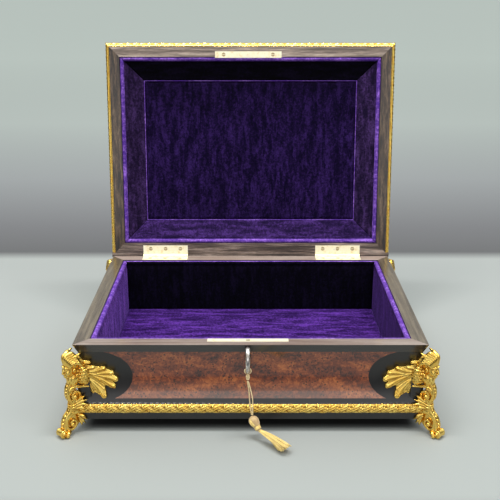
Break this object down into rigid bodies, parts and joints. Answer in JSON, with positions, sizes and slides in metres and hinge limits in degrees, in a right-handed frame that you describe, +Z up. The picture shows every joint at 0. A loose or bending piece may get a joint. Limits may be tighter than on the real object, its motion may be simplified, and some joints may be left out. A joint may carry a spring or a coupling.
{
  "type": "jewellery casket",
  "caption": "Coved jewellery casket with burl panels, cast scroll-foot corner mounts, velvet lining, a hinged lid standing open, lock, key and tassel.",
  "frame": {"origin": "on the table, under the middle of the open casket's outline; the body's own centre is 20 mm nearer the front", "axes": "+Z up, +X to the right along the long side, the front with the lock faces -Y"},
  "size_m": [0.349, 0.3355, 0.3219],
  "materials": {
    "burl_veneer": "french-polished burl veneer",
    "ebonised_wood": "ebonised, polished",
    "rosewood": "polished rosewood",
    "deal": "stained softwood",
    "velvet": "silk velvet",
    "gilt_bronze": "cast and gilt",
    "brass": "lacquered sheet brass",
    "steel": "worn polished steel",
    "silk": "twisted silk"
  },
  "bodies": {
    "base": {"bottom_board": "deal", "floor_lining": "velvet", "front_base_moulding": "gilt_bronze", "front_burl_panel": "burl_veneer", "front_left_corner_mount": "gilt_bronze", "front_lining": "velvet", "front_right_corner_mount": "gilt_bronze", "front_rim_rail": "rosewood", "front_wall": "ebonised_wood", "hinge_base_screws": "brass", "hinge_pins": "brass", "key_cord_left": "silk", "key_cord_right": "silk", "left_base_moulding": "gilt_bronze", "left_burl_panel": "burl_veneer", "left_hinge_base_leaf": "brass", "left_lining": "velvet", "left_rim_rail": "rosewood", "left_wall": "ebonised_wood", "lock_case": "steel", "lock_plate": "brass", "plinth_rails": "ebonised_wood", "rear_base_moulding": "gilt_bronze", "rear_burl_panel": "burl_veneer", "rear_left_corner_mount": "gilt_bronze", "rear_lining": "velvet", "rear_right_corner_mount": "gilt_bronze", "rear_rim_rail": "rosewood", "rear_wall": "ebonised_wood", "right_base_moulding": "gilt_bronze", "right_burl_panel": "burl_veneer", "right_hinge_base_leaf": "brass", "right_lining": "velvet", "right_rim_rail": "rosewood", "right_wall": "ebonised_wood", "tassel": "silk"},
    "lid": {"hinge_lid_screws": "brass", "left_hinge_lid_leaf": "brass", "lid_burl_panel": "burl_veneer", "lid_edge_moulding": "gilt_bronze", "lid_front_cove": "ebonised_wood", "lid_front_rail": "rosewood", "lid_left_cove": "ebonised_wood", "lid_left_rail": "rosewood", "lid_lining_panel": "velvet", "lid_rear_cove": "ebonised_wood", "lid_rear_rail": "rosewood", "lid_right_cove": "ebonised_wood", "lid_right_rail": "rosewood", "lid_side_lining": "velvet", "lid_stringing": "brass", "lid_top_board": "ebonised_wood", "right_hinge_lid_leaf": "brass", "striker_plate": "brass", "striker_screws": "brass"},
    "key": {"key": "steel", "cord_knot": "silk"},
    "lock_bolt": {"lock_bolt": "steel"}
  },
  "joints": [
    {"name": "lid_hinge", "type": "hinge", "parent": "base", "child": "lid", "pos_m": [0, 0.0988, 0.08615], "axis": [1, 0, 0], "range_deg": [0, 97.6]},
    {"name": "key_turn", "type": "hinge", "parent": "base", "child": "key", "pos_m": [-0.0024, -0.1375, 0.076], "axis": [0, 1, 0], "range_deg": [0, 90]},
    {"name": "bolt_slide", "type": "slide", "parent": "base", "child": "lock_bolt", "axis": [-1, 0, 0], "range_m": [0, 0.004]}
  ],
  "couplings": [
    {"joint": "bolt_slide", "follows": "key_turn", "m_per_rad": 0.002546}
  ]
}
